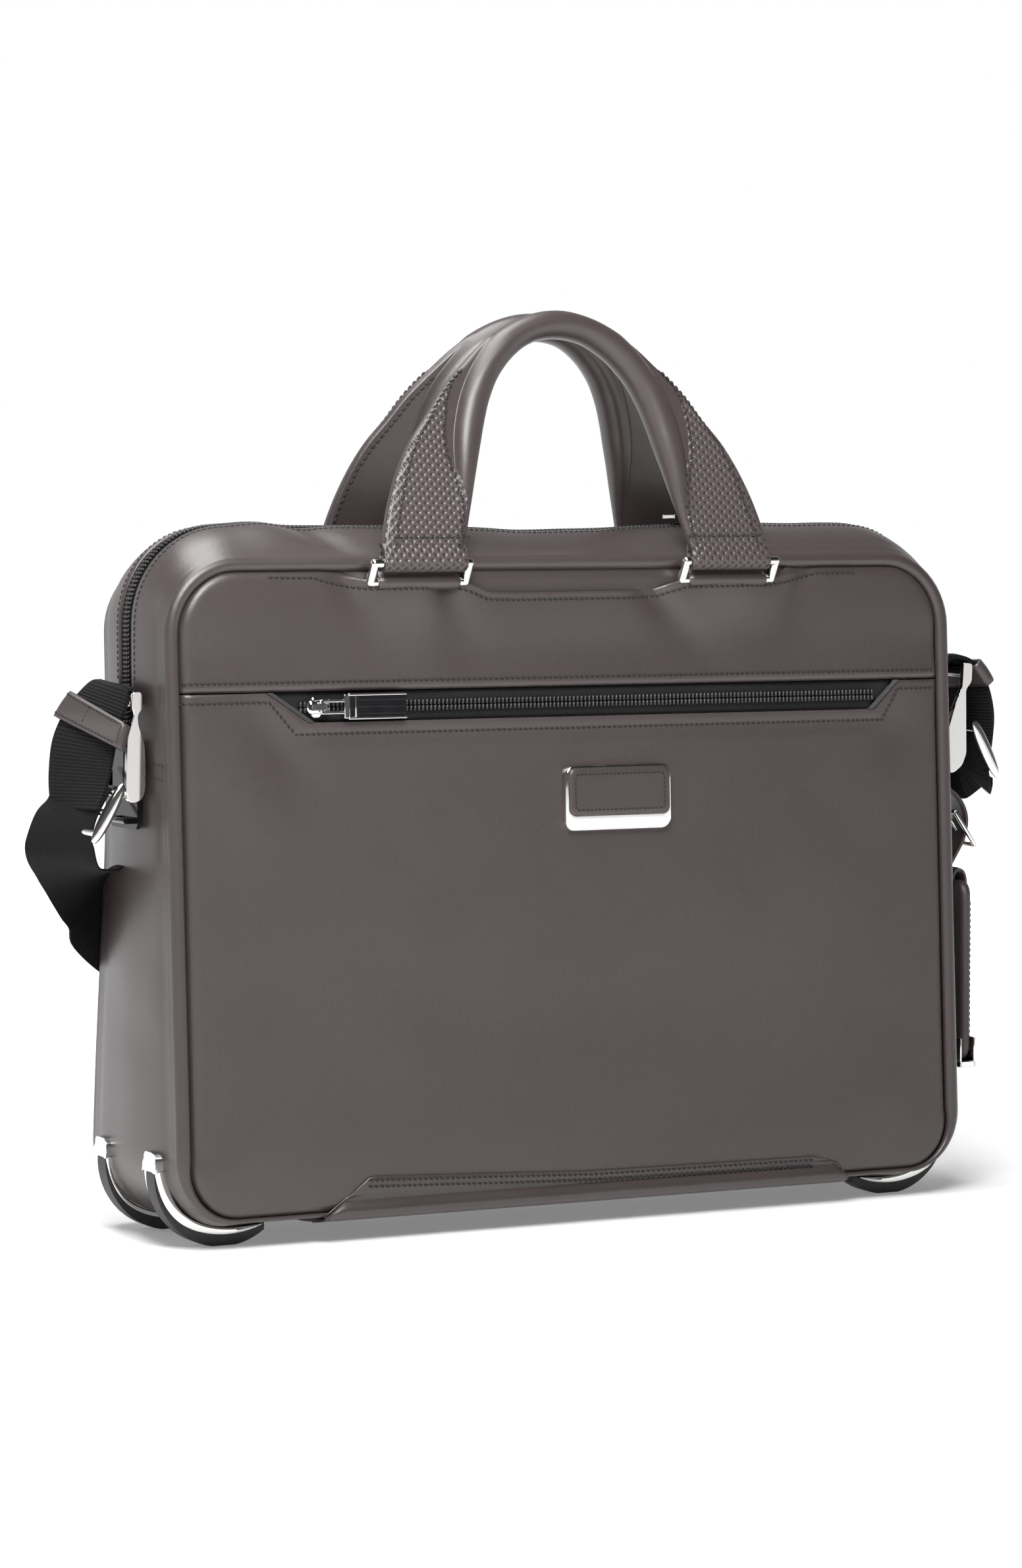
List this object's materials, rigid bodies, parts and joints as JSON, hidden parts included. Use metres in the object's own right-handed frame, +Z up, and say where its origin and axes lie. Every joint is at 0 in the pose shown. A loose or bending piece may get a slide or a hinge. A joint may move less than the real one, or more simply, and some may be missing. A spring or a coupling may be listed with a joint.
{
  "type": "laptop briefcase",
  "caption": "Soft-sided leather laptop briefcase with twin handles, folding zip mouth, front zip pocket, shoulder strap, luggage tag and skid guards.",
  "frame": {"origin": "on the ground under the middle of the case", "axes": "+X to the wearer's right along the long side as seen from the front, +Y from the front face to the back face, +Z up"},
  "size_m": [0.4795, 0.1047, 0.4126],
  "materials": {
    "smooth_leather": "smooth matte taupe leather",
    "embossed_leather": "diamond embossed taupe leather",
    "plate_leather": "smooth leather inset",
    "zip_tape": "herringbone tape",
    "zip_coil": "nylon coil",
    "polished_metal": "polished nickel",
    "black_rubber": "ribbed rubber",
    "black_plastic": "gloss black",
    "webbing": "ribbed nylon webbing",
    "lining": "woven lining",
    "stiffener": "fibre board"
  },
  "bodies": {
    "case": {"front_wall": "smooth_leather", "front_base_patch": "smooth_leather", "front_welt": "smooth_leather", "lower_gusset": "smooth_leather", "rear_top_gusset": "smooth_leather", "rear_wall": "smooth_leather", "rear_welt": "smooth_leather", "rear_sleeve": "smooth_leather", "rear_zip_tape": "zip_tape", "rear_zip_coil": "zip_coil", "zip_ends": "zip_coil", "pocket_zip_tape": "zip_tape", "pocket_zip_coil": "zip_coil", "pocket_zip_end_trims": "polished_metal", "nameplate_frame": "polished_metal", "nameplate_inset": "plate_leather", "rear_ring_tabs": "smooth_leather", "skid_guard_frames": "polished_metal", "skid_guard_treads": "black_rubber", "base_panel": "smooth_leather", "base_board": "stiffener", "laptop_divider": "lining", "laptop_strap": "lining", "organizer_panel": "lining", "left_strap_anchor": "polished_metal", "right_strap_anchor": "polished_metal", "left_strap_run": "webbing", "right_strap_run": "webbing"},
    "mouth_flap": {"front_top_wall": "smooth_leather", "front_yoke": "smooth_leather", "front_top_gusset": "smooth_leather", "front_top_welt": "smooth_leather", "front_zip_tape": "zip_tape", "front_zip_coil": "zip_coil", "front_ring_tabs": "smooth_leather"},
    "front_ring_pair": {"front_rings": "polished_metal"},
    "front_handle_body": {"front_handle": "smooth_leather", "front_handle_inserts": "embossed_leather"},
    "rear_ring_pair": {"rear_rings": "polished_metal"},
    "rear_handle_body": {"rear_handle": "smooth_leather", "rear_handle_inserts": "embossed_leather"},
    "pocket_slider_body": {"pocket_zip_slider": "polished_metal"},
    "pocket_pull_body": {"pocket_zip_pull": "polished_metal", "pocket_pull_insert": "black_rubber"},
    "main_slider_body": {"main_zip_slider": "polished_metal"},
    "main_pull_body": {"main_zip_pull": "polished_metal"},
    "left_strap_end": {"left_clip_frame": "polished_metal", "left_clip_block": "black_plastic", "left_webbing_loop": "webbing", "left_strap_keeper": "smooth_leather", "left_triglide": "polished_metal"},
    "right_strap_end": {"right_clip_frame": "polished_metal", "right_clip_block": "black_plastic", "right_webbing_loop": "webbing", "right_strap_keeper": "smooth_leather", "right_triglide": "polished_metal"},
    "luggage_tag": {"tag_strap": "smooth_leather", "tag_buckle": "polished_metal", "tag_body": "smooth_leather", "tag_corner": "polished_metal"}
  },
  "joints": [
    {"name": "mouth_fold", "type": "hinge", "parent": "case", "child": "mouth_flap", "pos_m": [0, -0.04046, 0.24287], "axis": [1, 0, 0], "range_deg": [0, 35]},
    {"name": "front_ring_swing", "type": "hinge", "parent": "mouth_flap", "child": "front_ring_pair", "pos_m": [0, -0.03801, 0.2903], "axis": [1, 0, 0], "range_deg": [-2, 100]},
    {"name": "front_handle_swing", "type": "hinge", "parent": "front_ring_pair", "child": "front_handle_body", "pos_m": [0, -0.04267, 0.2987], "axis": [1, 0, 0], "range_deg": [-2, 60]},
    {"name": "rear_ring_swing", "type": "hinge", "parent": "case", "child": "rear_ring_pair", "pos_m": [0, 0.03801, 0.2903], "axis": [-1, 0, 0], "range_deg": [-2, 100]},
    {"name": "rear_handle_swing", "type": "hinge", "parent": "rear_ring_pair", "child": "rear_handle_body", "pos_m": [0, 0.04267, 0.2987], "axis": [-1, 0, 0], "range_deg": [-2, 60]},
    {"name": "pocket_zip_slide", "type": "slide", "parent": "case", "child": "pocket_slider_body", "axis": [1, 0, 0], "range_m": [0, 0.278]},
    {"name": "pocket_pull_flip", "type": "hinge", "parent": "pocket_slider_body", "child": "pocket_pull_body", "pos_m": [-0.128, -0.04242, 0.23606], "axis": [0, -0.0517, -0.9987], "range_deg": [0, 170]},
    {"name": "main_zip_slide", "type": "slide", "parent": "case", "child": "main_slider_body", "axis": [-1, 0, 0], "range_m": [-0.045, 0.25]},
    {"name": "main_pull_flip", "type": "hinge", "parent": "main_slider_body", "child": "main_pull_body", "pos_m": [0.103, 0, 0.31861], "axis": [0, 1, 0], "range_deg": [0, 170]},
    {"name": "left_clip_swing", "type": "hinge", "parent": "case", "child": "left_strap_end", "pos_m": [-0.2095, -0.002, 0.2], "axis": [0, -1, 0], "range_deg": [0, 30], "deforming": ["left_strap_run"]},
    {"name": "right_clip_swing", "type": "hinge", "parent": "case", "child": "right_strap_end", "pos_m": [0.2095, -0.002, 0.2], "axis": [0, 1, 0], "range_deg": [-3, 20], "deforming": ["right_strap_run"]},
    {"name": "tag_swing", "type": "hinge", "parent": "case", "child": "luggage_tag", "pos_m": [0.2083, -0.002, 0.1866], "axis": [0, -1, 0], "range_deg": [0, 25]}
  ]
}
